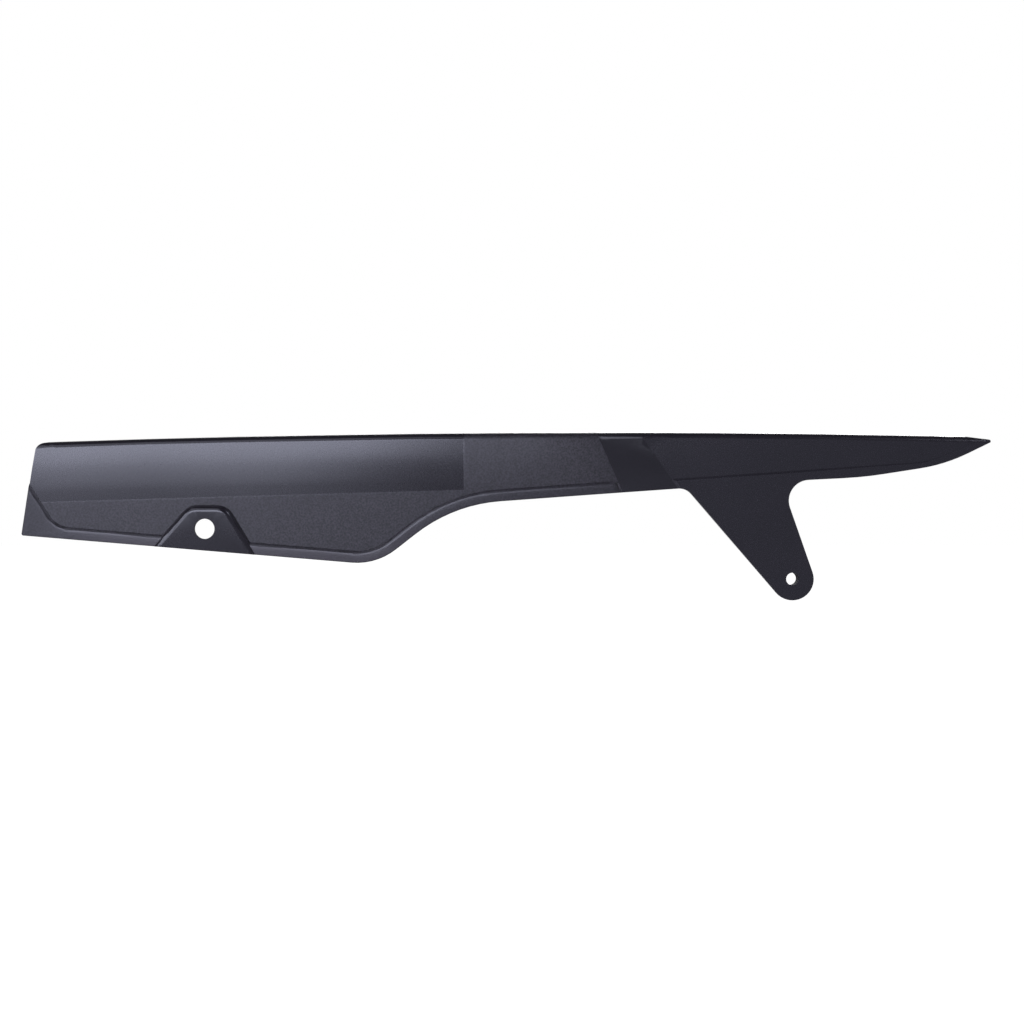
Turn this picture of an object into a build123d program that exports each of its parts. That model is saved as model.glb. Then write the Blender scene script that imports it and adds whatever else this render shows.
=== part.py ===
from build123d import *
import math
import os

# Motorcycle chain guard: one moulding in black plastic.
# A side wall covers the chain, a top flange turns inboard over it, a ramp sets the rear half
# inboard, a raised rim follows the lower edge, and the guard bolts on at a pad and at a leg.
# Frame: origin on the front hole's axis at the pad's inner seat, +X rearward, +Y inboard, +Z up.
# Side-view points are (x, z).

# Section of the moulding
wall = 2.3
flange_width = 30.0
crown_height = 26.0
crown_radius = 170.0
top_edge_radius = 4.2
wall_edge_radius = 0.4

# Top line: one shallow arc from the front corner to the tail's tip, drawn in straight steps
top_front = (-85.0, 44.8)
top_tail = (407.3, 47.4)
top_bow = 3.65
top_steps = 12

# Side outline: corners and the radii that round them, the tail's given by their run to the tip
front_corner = (-87.5, 44.0)
front_corner_angle = 8.0
front_corner_radius = 4.8
front_foot = (-94.6, -3.4)
front_foot_radius = 1.0
belly = (88.2, -18.5)
belly_radius = 32.0
waist = (127.6, 12.4)
waist_radius = 80.0
leg_root = (248.5, 21.1)
leg_root_radius = 8.0
tail_root = (297.8, 24.6)
tail_root_radius = 10.8
tail_knee_run = 66.3
tail_knee_z = 26.75
tail_knee_radius = 200.0
tail_sweep_run = 24.3
tail_sweep_z = 33.3
tail_sweep_radius = 90.0
tip_z = 45.0
tip_height = 1.3
tip_fall_angle = 8.0
tip_radius = 0.8

# Ramp that sets the rear half inboard, between two leaning creases
ramp_top_x = 201.7
ramp_top_run = 21.8
ramp_offset = 8.0
ramp_rise = 0.45
ramp_front_lean = 23.3
ramp_rear_lean = 35.3

# Raised rim along the lower edge of the front half, with a triangle at the front end
rim_width = 4.9
rim_raise = 1.3
rim_slope_run = 1.3
rim_edge_radius = 3.2
rim_ramp_gap = 0.8
rim_front_x = -76.7
rim_front_angle = 57.7
rim_front_radius = 13.0

# Raised lower part of the rear half: the leg and the tail's lower edge
tail_rim_front_z = 25.8
tail_rim_knee_run = 31.8
tail_rim_knee_z = 34.9
tail_rim_knee_radius = 40.0
tail_rim_rise_angle = 23.2
tail_rim_raise = 0.6
tail_rim_slope_run = 1.3
tail_rim_edge_radius = 0.8

# Bolt pad round the front hole
pad_top_z = 12.2
pad_front_x = -8.6
pad_rear_x = 11.5
pad_front_angle = 41.2
pad_rear_angle = 31.1
pad_corner_radius = 9.5
pad_raise = 2.8
pad_slope_run = 1.6
pad_edge_radius = 3.4
front_hole_diameter = 10.4

# Leg end, boss and rear hole
rear_hole = (303.8, -26.2)
rear_hole_diameter = 6.6
rear_hole_depth = 10.0
leg_end_radius = 11.1
boss_diameter = 15.0

# Plan of the flange's inner edge
flange_front_width = 20.0
flange_lead_x = -60.0
flange_taper_x = 215.0
flange_tip_width = 4.0
flange_corner_radius = 30.0

# Room by which cutting and trimming shapes pass the moulding, and how many times its own run
# the ramp is long before the rear half covers its end
clear = 30.0
ramp_overrun = 1.25

# Depths of the side wall's outer face, in front of and behind the ramp
panel_y = pad_raise - wall
rear_panel_y = panel_y + ramp_offset


def angle_of(point_a, point_b):
    """The angle of the line from one side-view point to another, in degrees."""
    return math.degrees(math.atan2(point_b[1] - point_a[1], point_b[0] - point_a[0]))


def meet(point_a, angle_a, point_b, angle_b):
    """The point where two side-view lines cross, each given by a point and an angle."""
    a, b = Vector(*point_a), Vector(*point_b)
    along_a = Vector(1, 0).rotate(Axis.Z, angle_a)
    along_b = Vector(1, 0).rotate(Axis.Z, angle_b)
    step = (b - a).cross(along_b).Z / along_a.cross(along_b).Z
    crossing = a + along_a * step
    return (crossing.X, crossing.Y)


def tangent_angle(point, centre, radius, side):
    """The angle of the line from a point that touches a circle, on its left (1) or right (-1)."""
    reach = math.dist(point, centre)
    return angle_of(point, centre) + side * math.degrees(math.asin(radius / reach))


def rounded_face(corners):
    """A face from its corners, each a point and the radius that rounds it."""
    points = [point for point, radius in corners]
    radii = [radius for point, radius in corners]
    return make_face(FilletPolyline(*points, radius=radii, close=True))


def side_plane(y):
    """A side-view plane at a given depth, whose sketches read as (x, z)."""
    return Plane.XZ.offset(-y)


# Circle of the top line
half_chord = math.dist(top_front, top_tail) / 2
top_radius = (half_chord**2 + top_bow**2) / (2 * top_bow)
top_middle = (Vector(*top_front) + Vector(*top_tail)) / 2
top_up = Vector(0, 1).rotate(Axis.Z, angle_of(top_front, top_tail))
top_centre = top_middle - top_up * (top_radius - top_bow)


def top_z(x):
    """Height of the top line."""
    return top_centre.Y + math.sqrt(top_radius**2 - (x - top_centre.X) ** 2)


# Reach of the blocks and trimming shapes
front_x = front_foot[0] - clear
rear_x = top_tail[0] + clear
above_z = top_z(top_centre.X) + clear
below_z = rear_hole[1] - leg_end_radius - clear
inner_y = panel_y + flange_width + clear

# Crease lines of the ramp in the side view
front_crease = (ramp_top_x, top_z(ramp_top_x))
front_crease_angle = 90 + ramp_front_lean
rear_crease_x = ramp_top_x + ramp_top_run
rear_crease = (rear_crease_x, top_z(rear_crease_x) + ramp_rise)
rear_crease_angle = 90 + ramp_rear_lean


def top_section(face_y, inset):
    """The cross-section under the top line: wall, crowned upper part, rounded edge and top."""
    turn = math.degrees(math.asin((crown_height - top_edge_radius) / (crown_radius - top_edge_radius)))
    crown_centre = Vector(face_y + crown_radius, -crown_height)
    edge_centre = crown_centre + Vector(top_edge_radius - crown_radius, 0).rotate(Axis.Z, -turn)
    crown = CenterArc(crown_centre, crown_radius - inset, 180, -turn)
    edge = CenterArc(edge_centre, top_edge_radius - inset, 180 - turn, turn - 90)
    foot = below_z - above_z
    rest = Polyline(edge @ 1, (inner_y, -inset), (inner_y, foot), (face_y + inset, foot), crown @ 0)
    return Plane.YZ * make_face([crown, edge, rest])


def top_block(face_y, inset, rise, start_x):
    """All that lies under the top line and inboard of a side wall, from section to section."""
    section = top_section(face_y, inset)
    stations = [start_x + (rear_x - start_x) * step / top_steps for step in range(top_steps + 1)]
    return loft([Pos(x, 0, top_z(x) + rise) * section for x in stations], ruled=True)


def envelope(inset):
    """The guard's outside, or the same surface sunk by an inset: front wall, ramp, rear wall."""
    bend = math.atan2(ramp_offset, ramp_top_run)
    crease_x = ramp_top_x - inset * math.tan(bend / 2)
    crease = Vector(crease_x, 0, top_z(crease_x) - inset)
    lean = math.radians(ramp_front_lean)
    crease_plane = Plane(crease, x_dir=(0, 1, 0), z_dir=(math.cos(lean), 0, math.sin(lean)))
    front = top_block(panel_y, inset, 0, front_x)
    front = split(front, crease_plane, Keep.BOTTOM)
    near_end = front.faces().filter_by(crease_plane).sort_by(Axis.X)[-1]

    # The ramp swings the front section's end back and inboard, on into the rear block
    swing = (ramp_front_lean - ramp_rear_lean) * ramp_overrun
    shift = Vector(ramp_top_run, ramp_offset, ramp_rise) * ramp_overrun
    far_end = Pos(shift) * near_end.rotate(Axis(crease, (0, 1, 0)), swing)
    ramp = loft([near_end, far_end], ruled=True)

    rear = top_block(rear_panel_y, inset, ramp_rise, crease_x)
    return front + ramp + rear


def side_outline():
    """The side view: front edge, belly, waist, leg and tail, open above the top line."""
    leg_front_angle = tangent_angle(leg_root, rear_hole, leg_end_radius, -1)
    leg_rear_angle = tangent_angle(tail_root, rear_hole, leg_end_radius, 1)
    leg_end = meet(leg_root, leg_front_angle, tail_root, leg_rear_angle)
    tail_knee = (top_tail[0] - tail_knee_run, tail_knee_z)
    tail_sweep = (top_tail[0] - tail_sweep_run, tail_sweep_z)
    tip_low = (top_tail[0], tip_z)
    tip_high = (top_tail[0], tip_z + tip_height)
    return rounded_face(
        [
            (meet(front_corner, front_corner_angle, (0, above_z), 0), 0),
            (front_corner, front_corner_radius),
            (front_foot, front_foot_radius),
            (belly, belly_radius),
            (waist, waist_radius),
            (leg_root, leg_root_radius),
            (leg_end, leg_end_radius),
            (tail_root, tail_root_radius),
            (tail_knee, tail_knee_radius),
            (tail_sweep, tail_sweep_radius),
            (tip_low, tip_radius),
            (tip_high, tip_radius),
            (meet(tip_high, 180 - tip_fall_angle, (0, above_z), 0), 0),
        ]
    )


def flange_plan():
    """The plan view: the flange's inner edge, wide in front and narrowing to the tail's tip."""
    lead_y = panel_y + flange_front_width
    wide_y = panel_y + flange_width
    tip_y = rear_panel_y + flange_tip_width
    return rounded_face(
        [
            ((front_x, -inner_y), 0),
            ((rear_x, -inner_y), 0),
            ((rear_x, tip_y), 0),
            ((top_tail[0], tip_y), 0),
            ((flange_taper_x, wide_y), flange_corner_radius),
            ((flange_lead_x, wide_y), flange_corner_radius),
            ((front_foot[0], lead_y), 0),
            ((front_x, lead_y), 0),
        ]
    )


def outline_block(face_y):
    """All that lies within the side outline and inboard of a plane, with its edge rounded."""
    block = extrude(side_plane(face_y) * side_outline(), face_y - inner_y)
    return fillet(block.faces().sort_by(Axis.Y)[0].edges(), wall_edge_radius)


def raised(foot, face_y, height, slope_run, edge_radius):
    """A plateau on a side-wall plane: sloped sides up from its foot, ended by the side outline."""
    on_face = side_plane(face_y) * foot
    slope = math.degrees(math.atan2(slope_run, height))
    plateau = extrude(on_face, height, taper=slope)
    plateau = fillet(plateau.faces().sort_by(Axis.Y)[0].edges(), edge_radius)
    plateau = plateau + extrude(on_face, face_y - inner_y)
    return plateau & outline_block(face_y - height)


def rim_foot():
    """The rim's foot: up the front triangle, then level with the lower edge as far as the ramp."""
    foot_offset = rim_width + rim_slope_run

    def inside(point_a, point_b):
        along = (Vector(*point_b) - Vector(*point_a)).normalized()
        shifted = Vector(*point_a) + along.rotate(Axis.Z, 90) * foot_offset
        return ((shifted.X, shifted.Y), angle_of(point_a, point_b))

    bottom = inside(front_foot, belly)
    rise = inside(belly, waist)
    level = inside(waist, leg_root)
    end_x = front_crease[0] - rim_ramp_gap
    end = ((end_x, front_crease[1]), front_crease_angle)
    diagonal_foot = meet(*bottom, (rim_front_x, 0), 90)
    return rounded_face(
        [
            (meet(diagonal_foot, 180 - rim_front_angle, (front_x, 0), 90), 0),
            (diagonal_foot, rim_front_radius),
            (meet(*bottom, *rise), belly_radius - foot_offset),
            (meet(*rise, *level), waist_radius + foot_offset),
            (meet(*level, *end), 0),
            (meet(*end, (0, below_z), 0), 0),
            ((front_x, below_z), 0),
        ]
    )


def tail_rim_foot():
    """The foot of the rear half's raised part: from the ramp to a knee, then up to the tip."""
    knee = (top_tail[0] - tail_rim_knee_run, tail_rim_knee_z)
    return rounded_face(
        [
            (meet(rear_crease, rear_crease_angle, (0, tail_rim_front_z), 0), 0),
            (knee, tail_rim_knee_radius),
            (meet(knee, tail_rim_rise_angle, (rear_x, 0), 90), 0),
            ((rear_x, below_z), 0),
            (meet(rear_crease, rear_crease_angle, (0, below_z), 0), 0),
        ]
    )


def pad_foot():
    """The bolt pad's foot: a trapezium with a rounded top, open at the lower edge."""
    front_top = (pad_front_x, pad_top_z)
    rear_top = (pad_rear_x, pad_top_z)
    return rounded_face(
        [
            (front_top, pad_corner_radius),
            (rear_top, pad_corner_radius),
            (meet(rear_top, 90 + pad_rear_angle, (0, below_z), 0), 0),
            (meet(front_top, 90 - pad_front_angle, (0, below_z), 0), 0),
        ]
    )


def across(point, diameter, from_y, to_y):
    """A round bar along Y at a side-view point, between two depths."""
    return extrude(side_plane(from_y) * Pos(*point) * Circle(diameter / 2), from_y - to_y)


plan = extrude(flange_plan(), above_z + clear, both=True)
rim = raised(rim_foot(), panel_y, rim_raise, rim_slope_run, rim_edge_radius)
tail_rim = raised(
    tail_rim_foot(), rear_panel_y, tail_rim_raise, tail_rim_slope_run, tail_rim_edge_radius
)
pad = raised(pad_foot(), panel_y, pad_raise, pad_slope_run, pad_edge_radius)
pad_pocket = extrude(side_plane(0) * offset(pad_foot(), -pad_slope_run), -inner_y)

leg_face_y = rear_panel_y - tail_rim_raise
boss_end_y = leg_face_y + rear_hole_depth
boss = across(rear_hole, boss_diameter, rear_panel_y + wall / 2, boss_end_y)

# The raised parts stand on the outside before the inside is hollowed out
under_top = top_block(leg_face_y, 0, ramp_rise, front_x)
guard = (envelope(0) & outline_block(panel_y)) + rim + (tail_rim & under_top) + pad
guard = (guard & plan) - envelope(wall) + boss
guard = guard - pad_pocket
guard = guard - across((0, 0), front_hole_diameter, -inner_y, inner_y)
guard = guard - across(rear_hole, rear_hole_diameter, -inner_y, inner_y)

os.makedirs("parts", exist_ok=True)
export_step(guard, "parts/chain_guard.step")
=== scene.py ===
import math

import bpy
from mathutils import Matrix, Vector

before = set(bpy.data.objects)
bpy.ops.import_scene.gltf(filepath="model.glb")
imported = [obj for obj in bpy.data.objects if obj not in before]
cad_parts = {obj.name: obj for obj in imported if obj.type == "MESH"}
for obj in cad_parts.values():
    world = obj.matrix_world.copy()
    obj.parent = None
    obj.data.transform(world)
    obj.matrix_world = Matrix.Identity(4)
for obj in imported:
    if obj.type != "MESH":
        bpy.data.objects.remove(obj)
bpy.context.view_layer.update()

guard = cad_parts["chain_guard"]
scene = bpy.context.scene
scene.view_settings.view_transform = "Standard"

MM = 0.001

# Directions from the guard as it is fitted: its outer side faces -Y and its tail points to +X
OUTWARD = (0, -1, 0)
INWARD = (0, 1, 0)
FORWARD = (-1, 0, 0)
REARWARD = (1, 0, 0)
UPWARD = (0, 0, 1)

# Camera: level with the guard and square on to its outer side
CAMERA_PLACE = (0.15804, -0.8995, 0.00866)
CAMERA_LENS_MM = 61.4
CAMERA_SENSOR_MM = 36.0

# Soft boxes, all at one distance: bearing from straight in front of the guard with right of it positive,
# angle above the level, width and height, radiance
SOFT_BOX_AIM = (0.0, 0.0, 0.03)
SOFT_BOX_DISTANCE = 2.0
SOFT_BOXES = {
    "key_soft_box": (-14, 22.4, (1.0, 0.7), 16.8),
    "top_soft_box": (-28, 49, (1.3, 1.1), 3.5),
    "left_soft_box": (-20, 7.7, (1.2, 0.44), 8.0),
    "side_soft_box": (-45, 22, (0.8, 0.7), 11.0),
    "right_soft_box": (57, 44, (0.5, 0.6), 10.0),
    "low_right_soft_box": (47, 3, (0.8, 0.5), 2.6),
    "back_soft_box": (165, 20, (1.6, 1.0), 7.0),
}

# Surroundings: white, greyer overhead, and far weaker as a light than as a sight
AMBIENT = 0.2
CEILING_SHADE = 0.15
CEILING_FADE = (0.35, 0.75)

# Floor well under the guard; its own glow makes the white of the far floor meet that of the surroundings
FLOOR_DROP = 0.4
FLOOR_CENTRE_X = 0.158
FLOOR_SIZE = 40.0
NEAR_GLOW = 0.05
FAR_GLOW = 0.95
GLOW_FADE = (0.22, 0.9)

# Finishes that cover the grained wall's own, each over the ones before it: roughness, share of the grain
WALL_FINISH = (0.36, 1.0)
FINISHES = {
    "rim": (0.34, 0.6),
    "panel": (0.2, 0.05),
    "pad": (0.17, 0.02),
    "ramp_and_rear_half": (0.26, 0.05),
    "front_hole": (1.0, 1.0),
    "rear_hole": (1.0, 1.0),
}

# Depths that tell the faces apart: the wall's lies further in than the first, the rim's further out than
# the second and the pad's further out than the third
WALL_Y = 0.2 * MM
RIM_Y = -0.2 * MM
PAD_Y = -1.2 * MM
WALL_BLUR = 0.2 * MM
RIM_BLUR = 0.3 * MM
PAD_BLUR = 0.2 * MM

# How squarely a face looks outward, from 0 to 1, to count as outside or as the rim's flat face: start, blur
OUTSIDE_FACING = (0.4, 0.3)
FLAT_FACING = (0.95, 0.06)

# Satin panel on the outer wall: its rear end, its lower edge by one point and a rise, and its step
PANEL_REAR_X = 133.3 * MM
PANEL_FOOT = (-74.9 * MM, 13.8 * MM)
PANEL_RISE = 0.0297
PANEL_STEP = 0.02 * MM
PANEL_EDGE_BLUR = 0.8 * MM

# Front crease of the ramp: where it meets the top line, and how it leans back below that
CREASE_TOP = (201.7 * MM, 49.9 * MM)
CREASE_LEAN = math.tan(math.radians(23.3))
CREASE_ACROSS = Vector((1, 0, CREASE_LEAN))
CREASE_START = CREASE_TOP[0] + CREASE_LEAN * CREASE_TOP[1]
CREASE_BLUR = 0.3 * MM

# The crease is eased down to the rim: its radius, how far to each side it is looked for, and the blurs
EASE_RADIUS = 2.2 * MM
EASE_REACH = 5.0 * MM
EASE_BLUR = 1.0 * MM
EASE_SAMPLES = 8
EASE_FOOT_Z = 24.0 * MM
EASE_FOOT_BLUR = 2.0 * MM

# The wall bends in softly before the crease: how long before it and how deep
BEND_RUN = 34.0 * MM
BEND_DEPTH = 1.2 * MM

# Bolt holes, whose walls the tool's pins leave dull: centre and radius
FRONT_HOLE = ((0.0, 0.0, 0.0), 5.2 * MM)
REAR_HOLE = ((303.8 * MM, 0.0, -26.2 * MM), 3.3 * MM)
HOLE_MARGIN = 0.1 * MM

# Grain: really 0.2 mm across, drawn coarser so that it shows, with its pattern turned off the axes
# so that no flat wall cuts it along its own grid
GRAIN_WIDTH = 0.9 * MM
GRAIN_DEPTH = 0.05 * MM
GRAIN_TURN = (0.6, 0.4, 0.7)
# Heights of the grain between which the painted shade of its pits turns into the painted light of its land
PIT_LEVELS = (0.35, 0.65)

# Length of the rim whose flat face carries a painted highlight, and how softly that starts and ends
RIM_SHEEN_SPAN_X = (-62.0 * MM, 105.0 * MM)
RIM_SHEEN_FADE = 40.0 * MM

# Marks of moulding and handling: how wide flow streaks and dull blooms are, and how far the blooms vary
FLOW_STRETCH = (0.12, 1.0, 1.0)
FLOW_WIDTH = 20.0 * MM
BLOOM_WIDTH = 30.0 * MM
BLOOM_SPREAD = 0.12

# Octaves of fine variation in the grain, the streaks and the blooms
PATTERN_DETAIL = 2.0

# Shading of the mesh: gap that is welded, angle from which an edge is a crease, weight of large faces
WELD_GAP = 0.002 * MM
CREASE_ANGLE = 15
LARGE_FACE_WEIGHT = 50

# Sockets of the mix node by number, because their names repeat
FACTOR, VALUE_A, VALUE_B, COLOUR_A, COLOUR_B = 0, 2, 3, 6, 7
MIXED_VALUE, MIXED_COLOUR = 0, 2


def linear(hex_colour):
    """An sRGB hex colour as the linear values that the shaders take."""
    values = [int(hex_colour[i : i + 2], 16) / 255 for i in (1, 3, 5)]
    return [v / 12.92 if v <= 0.04045 else ((v + 0.055) / 1.055) ** 2.4 for v in values] + [1.0]


def add(tree, kind, links=None, **settings):
    """A node with its settings, its sockets set to values or linked to other nodes' outputs."""
    node = tree.nodes.new(kind)
    for name, value in settings.items():
        setattr(node, name, value)
    for socket, value in (links or {}).items():
        if isinstance(value, bpy.types.NodeSocket):
            tree.links.new(value, node.inputs[socket])
        else:
            node.inputs[socket].default_value = value
    return node


def beyond(tree, place, direction, start, blur):
    """A mask: 0 up to a plane across a direction, 1 beyond it, with a blurred edge."""
    along = add(tree, "ShaderNodeVectorMath", {0: place, 1: direction}, operation="DOT_PRODUCT")
    edges = {"Value": along.outputs["Value"], "From Min": start - blur / 2, "From Max": start + blur / 2}
    return add(tree, "ShaderNodeMapRange", edges, interpolation_type="SMOOTHSTEP").outputs[0]


def within(tree, place, centre, radius):
    """A mask: 1 on the wall of a round hole through the guard, 0 away from it."""
    flat_place = add(tree, "ShaderNodeVectorMath", {0: place, 1: (1, 0, 1)}, operation="MULTIPLY")
    away = add(tree, "ShaderNodeVectorMath", {0: flat_place.outputs[0], 1: centre}, operation="DISTANCE")
    edge = {0: away.outputs["Value"], 1: radius + HOLE_MARGIN}
    return add(tree, "ShaderNodeMath", edge, operation="LESS_THAN").outputs[0]


def product(tree, *factors):
    """The product of masks, levels and numbers; that of masks is 1 only where all of them are."""
    result = factors[0]
    for factor in factors[1:]:
        result = add(tree, "ShaderNodeMath", {0: result, 1: factor}, operation="MULTIPLY").outputs[0]
    return result


def empty_tree(owner):
    """The node tree of a world or a material, with nothing in it yet."""
    owner.use_nodes = True
    owner.node_tree.nodes.clear()
    return owner.node_tree


def make_camera():
    camera = bpy.data.objects.new("camera", bpy.data.cameras.new("camera"))
    camera.location = CAMERA_PLACE
    camera.rotation_euler = (math.radians(90), 0, 0)
    camera.data.lens = CAMERA_LENS_MM
    camera.data.sensor_width = CAMERA_SENSOR_MM
    scene.collection.objects.link(camera)
    scene.camera = camera


def make_soft_box(name, bearing, height_angle, size, radiance):
    turn, rise = math.radians(bearing), math.radians(height_angle)
    away = Vector((math.sin(turn) * math.cos(rise), -math.cos(turn) * math.cos(rise), math.sin(rise)))
    light = bpy.data.lights.new(name, "AREA")
    light.shape = "RECTANGLE"
    light.size, light.size_y = size
    light.energy = radiance * math.pi * size[0] * size[1]
    box = bpy.data.objects.new(name, light)
    box.location = Vector(SOFT_BOX_AIM) + away * SOFT_BOX_DISTANCE
    box.rotation_euler = (-away).to_track_quat("-Z", "Y").to_euler()
    box.visible_camera = False
    scene.collection.objects.link(box)


def seen_directly(tree):
    """1 for rays from the camera, and for those that show the surroundings in gloss or glass."""
    path = add(tree, "ShaderNodeLightPath").outputs
    either = {0: path["Is Camera Ray"], 1: path["Is Glossy Ray"]}
    either = add(tree, "ShaderNodeMath", either, operation="MAXIMUM").outputs[0]
    either = {0: either, 1: path["Is Transmission Ray"]}
    return add(tree, "ShaderNodeMath", either, operation="MAXIMUM").outputs[0]


def make_world():
    world = bpy.data.worlds.new("studio")
    scene.world = world
    tree = empty_tree(world)
    direction = add(tree, "ShaderNodeTexCoord").outputs["Generated"]
    fade = {
        "Value": add(tree, "ShaderNodeSeparateXYZ", {0: direction}).outputs["Z"],
        "From Min": CEILING_FADE[0],
        "From Max": CEILING_FADE[1],
        "To Min": 1.0,
        "To Max": CEILING_SHADE,
    }
    shade = add(tree, "ShaderNodeMapRange", fade, interpolation_type="SMOOTHSTEP").outputs[0]
    sight = add(tree, "ShaderNodeBackground", {"Color": shade, "Strength": 1.0}).outputs[0]
    light = {"Color": linear("#ffffff"), "Strength": AMBIENT}
    light = add(tree, "ShaderNodeBackground", light).outputs[0]
    both = add(tree, "ShaderNodeMixShader", {0: seen_directly(tree), 1: light, 2: sight}).outputs[0]
    add(tree, "ShaderNodeOutputWorld", {"Surface": both})


def matt_pale_paper():
    """Pale backdrop paper: matt and even, so that all the eye sees on it is the guard's soft shadow."""
    material = bpy.data.materials.new("matt_pale_paper")
    tree = empty_tree(material)
    paper = add(tree, "ShaderNodeBsdfDiffuse", {"Color": linear("#cacaca")}).outputs[0]
    place = add(tree, "ShaderNodeTexCoord").outputs["Object"]
    fade = {
        "Value": add(tree, "ShaderNodeVectorMath", {0: place}, operation="LENGTH").outputs["Value"],
        "From Min": GLOW_FADE[0],
        "From Max": GLOW_FADE[1],
        "To Min": NEAR_GLOW,
        "To Max": FAR_GLOW,
    }
    level = add(tree, "ShaderNodeMapRange", fade, interpolation_type="SMOOTHSTEP").outputs[0]
    glow = {"Color": linear("#ffffff"), "Strength": product(tree, seen_directly(tree), level)}
    glow = add(tree, "ShaderNodeEmission", glow).outputs[0]
    both = add(tree, "ShaderNodeAddShader", {0: paper, 1: glow}).outputs[0]
    add(tree, "ShaderNodeOutputMaterial", {"Surface": both})
    return material


def make_floor():
    half = FLOOR_SIZE / 2
    mesh = bpy.data.meshes.new("floor")
    corners = [(-half, -half, 0), (half, -half, 0), (half, half, 0), (-half, half, 0)]
    mesh.from_pydata(corners, [], [(0, 1, 2, 3)])
    mesh.materials.append(matt_pale_paper())
    floor = bpy.data.objects.new("floor", mesh)
    floor.location = (FLOOR_CENTRE_X, 0, -FLOOR_DROP)
    scene.collection.objects.link(floor)


def finish_masks(tree, place, outside):
    """Where each finish lies that covers the grained wall's own."""
    panel_start = PANEL_FOOT[1] - PANEL_RISE * PANEL_FOOT[0]
    return {
        "rim": beyond(tree, place, OUTWARD, -RIM_Y, RIM_BLUR),
        "panel": product(
            tree,
            outside,
            beyond(tree, place, INWARD, WALL_Y, WALL_BLUR),
            beyond(tree, place, FORWARD, -PANEL_REAR_X, PANEL_EDGE_BLUR),
            beyond(tree, place, (-PANEL_RISE, 0, 1), panel_start, PANEL_EDGE_BLUR),
        ),
        "pad": beyond(tree, place, OUTWARD, -PAD_Y, PAD_BLUR),
        "ramp_and_rear_half": beyond(tree, place, CREASE_ACROSS, CREASE_START, CREASE_BLUR),
        "front_hole": within(tree, place, *FRONT_HOLE),
        "rear_hole": within(tree, place, *REAR_HOLE),
    }


def eased_crease(tree, place, outside):
    """The normal with the ramp's front crease rounded and the wall bent in a little before it."""
    above_rim = beyond(tree, place, UPWARD, EASE_FOOT_Z, EASE_FOOT_BLUR)
    near_crease = product(
        tree,
        beyond(tree, place, CREASE_ACROSS, CREASE_START - EASE_REACH, EASE_BLUR),
        beyond(tree, place, -CREASE_ACROSS, -CREASE_START - EASE_REACH, EASE_BLUR),
        above_rim,
    )
    radius = product(tree, near_crease, EASE_RADIUS)
    rounded = add(tree, "ShaderNodeBevel", {"Radius": radius}, samples=EASE_SAMPLES).outputs[0]
    along = add(tree, "ShaderNodeVectorMath", {0: place, 1: CREASE_ACROSS}, operation="DOT_PRODUCT")
    run = {
        "Value": along.outputs["Value"],
        "From Min": CREASE_START - BEND_RUN,
        "From Max": CREASE_START,
    }
    run = add(tree, "ShaderNodeMapRange", run).outputs[0]
    bend = {
        "Strength": product(tree, outside, above_rim),
        "Distance": -BEND_DEPTH,
        "Height": product(tree, run, run),
        "Normal": rounded,
    }
    return add(tree, "ShaderNodeBump", bend).outputs[0]


def moulded_relief(tree, normal, pits, grain, panel):
    """The normal with the tool's grain, and the panel let into the grained wall by a shallow step."""
    pitted = {"Strength": grain, "Distance": GRAIN_DEPTH, "Height": pits, "Normal": normal}
    pitted = add(tree, "ShaderNodeBump", pitted).outputs[0]
    stepped = {"Strength": 1.0, "Distance": -PANEL_STEP, "Height": panel, "Normal": pitted}
    return add(tree, "ShaderNodeBump", stepped).outputs[0]


def moulded_colour(tree, place, pits, grain, rim_sheen_mask):
    """Charcoal in faint streaks along the flow of the melt, with painted shade in the grain's pits, painted
    light on the land between them and a painted highlight on the rim's flat face.
    """
    stretched = add(tree, "ShaderNodeVectorMath", {0: place, 1: FLOW_STRETCH}, operation="MULTIPLY")
    flow = {"Vector": stretched.outputs[0], "Scale": 1 / FLOW_WIDTH, "Detail": PATTERN_DETAIL}
    flow = add(tree, "ShaderNodeTexNoise", flow).outputs["Fac"]
    melt = {FACTOR: flow, COLOUR_A: linear("#0c0b10"), COLOUR_B: linear("#0f0d13")}
    melt = add(tree, "ShaderNodeMix", melt, data_type="RGBA").outputs[MIXED_COLOUR]

    # Painted shade darkens the grain's pits and painted light lifts the land between them
    shaded_pit = {FACTOR: grain, COLOUR_A: melt, COLOUR_B: linear("#09090b")}
    shaded_pit = add(tree, "ShaderNodeMix", shaded_pit, data_type="RGBA").outputs[MIXED_COLOUR]
    lit_land = {FACTOR: grain, COLOUR_A: melt, COLOUR_B: linear("#1e1c23")}
    lit_land = add(tree, "ShaderNodeMix", lit_land, data_type="RGBA").outputs[MIXED_COLOUR]
    height = {"Value": pits, "From Min": PIT_LEVELS[0], "From Max": PIT_LEVELS[1]}
    height = add(tree, "ShaderNodeMapRange", height).outputs[0]
    shaded_grain = {FACTOR: height, COLOUR_A: shaded_pit, COLOUR_B: lit_land}
    shaded_grain = add(tree, "ShaderNodeMix", shaded_grain, data_type="RGBA").outputs[MIXED_COLOUR]

    # The rim's flat face gets a painted highlight, a little lighter along the belly
    sheened_rim = {FACTOR: rim_sheen_mask, COLOUR_A: shaded_grain, COLOUR_B: linear("#201e24")}
    return add(tree, "ShaderNodeMix", sheened_rim, data_type="RGBA").outputs[MIXED_COLOUR]


def handling_bloom(tree, place):
    """A factor for the roughness: slightly duller and glossier places from handling."""
    bloom = {"Vector": place, "Scale": 1 / BLOOM_WIDTH, "Detail": PATTERN_DETAIL}
    bloom = add(tree, "ShaderNodeTexNoise", bloom).outputs["Fac"]
    spread = {"Value": bloom, "To Min": 1 - BLOOM_SPREAD, "To Max": 1 + BLOOM_SPREAD}
    return add(tree, "ShaderNodeMapRange", spread).outputs[0]


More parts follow.
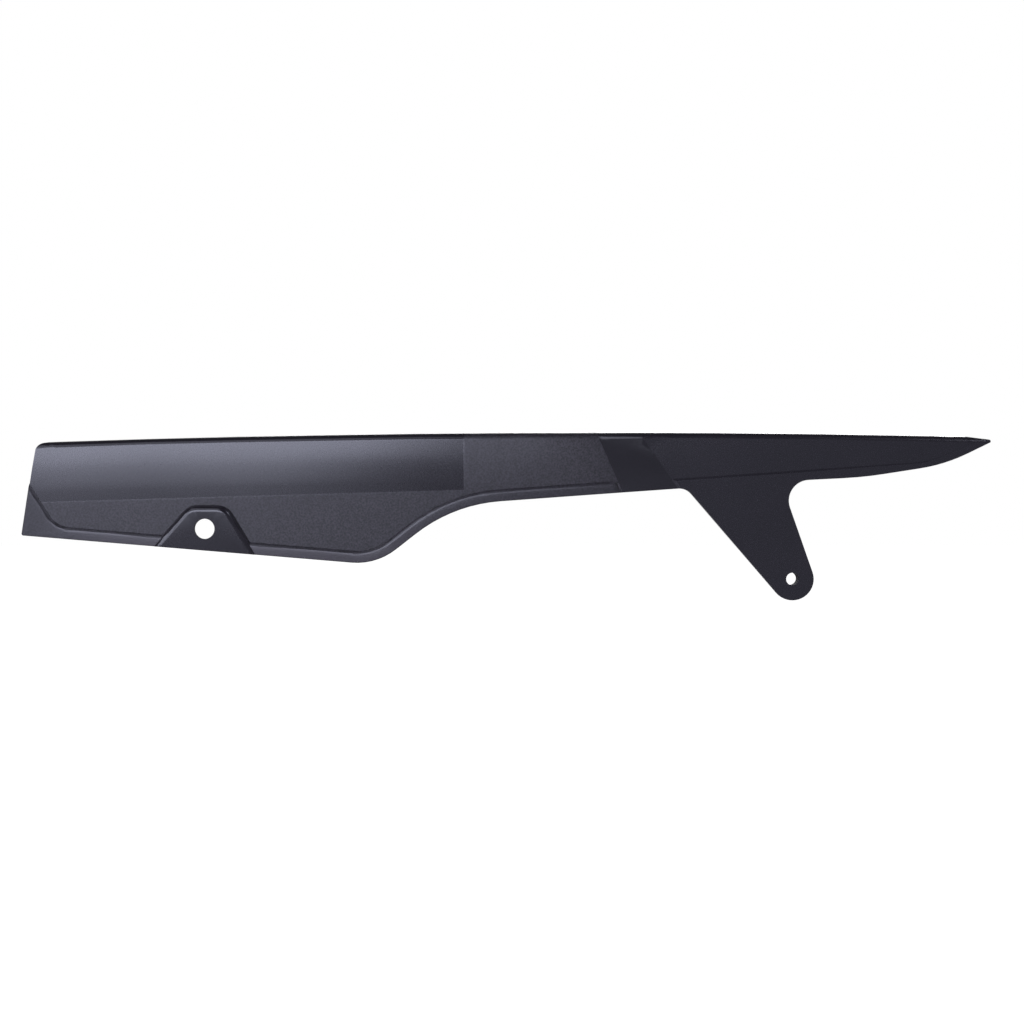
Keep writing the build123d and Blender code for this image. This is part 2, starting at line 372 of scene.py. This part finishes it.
def black_polypropylene():
    """Black polypropylene, injection moulded in a steel tool.

    The eye sees a bluish charcoal. Most of the outside has the fine matt grain of a spark-eroded tool,
    the panel and the pad have the satin of a polished one, and the ramp and the rear half lie between.
    """
    material = bpy.data.materials.new("black_polypropylene_moulded")
    tree = empty_tree(material)
    place = add(tree, "ShaderNodeTexCoord").outputs["Object"]
    normal = add(tree, "ShaderNodeNewGeometry").outputs["Normal"]
    outside = beyond(tree, normal, OUTWARD, *OUTSIDE_FACING)
    masks = finish_masks(tree, place, outside)

    roughness, grain = WALL_FINISH
    for name, (rough, share) in FINISHES.items():
        rough = {FACTOR: masks[name], VALUE_A: roughness, VALUE_B: rough}
        roughness = add(tree, "ShaderNodeMix", rough).outputs[MIXED_VALUE]
        share = {FACTOR: masks[name], VALUE_A: grain, VALUE_B: share}
        grain = add(tree, "ShaderNodeMix", share).outputs[MIXED_VALUE]

    # Where the rim's flat face gets a painted highlight, lighter along the belly
    rim_sheen_mask = product(
        tree,
        masks["rim"],
        beyond(tree, place, INWARD, PAD_Y, PAD_BLUR),
        beyond(tree, normal, OUTWARD, *FLAT_FACING),
        beyond(tree, place, REARWARD, RIM_SHEEN_SPAN_X[0], RIM_SHEEN_FADE),
        beyond(tree, place, FORWARD, -RIM_SHEEN_SPAN_X[1], RIM_SHEEN_FADE),
    )
    turned = add(tree, "ShaderNodeMapping", {"Vector": place, "Rotation": GRAIN_TURN}).outputs[0]
    pits = {"Vector": turned, "Scale": 1 / GRAIN_WIDTH, "Detail": PATTERN_DETAIL}
    pits = add(tree, "ShaderNodeTexNoise", pits).outputs["Fac"]

    settings = {
        "Base Color": moulded_colour(tree, place, pits, grain, rim_sheen_mask),
        "Roughness": product(tree, roughness, handling_bloom(tree, place)),
        "IOR": 1.49,
        "Specular IOR Level": 0.24,
        "Specular Tint": linear("#d9dcf2"),
        "Normal": moulded_relief(tree, eased_crease(tree, place, outside), pits, grain, masks["panel"]),
    }
    shader = add(tree, "ShaderNodeBsdfPrincipled", settings).outputs[0]
    add(tree, "ShaderNodeOutputMaterial", {"Surface": shader})
    return material


def dress_guard():
    """The guard's own material; its mesh shades as the smooth moulding that it stands for, creases kept."""
    weld = guard.modifiers.new("join_faces", "WELD")
    weld.merge_threshold = WELD_GAP
    split = guard.modifiers.new("keep_creases", "EDGE_SPLIT")
    split.split_angle = math.radians(CREASE_ANGLE)
    split.use_edge_sharp = False
    even = guard.modifiers.new("even_shading", "WEIGHTED_NORMAL")
    even.weight = LARGE_FACE_WEIGHT
    even.keep_sharp = False
    guard.data.materials.clear()
    guard.data.materials.append(black_polypropylene())


make_camera()
make_world()
make_floor()
for name, settings in SOFT_BOXES.items():
    make_soft_box(name, *settings)
dress_guard()
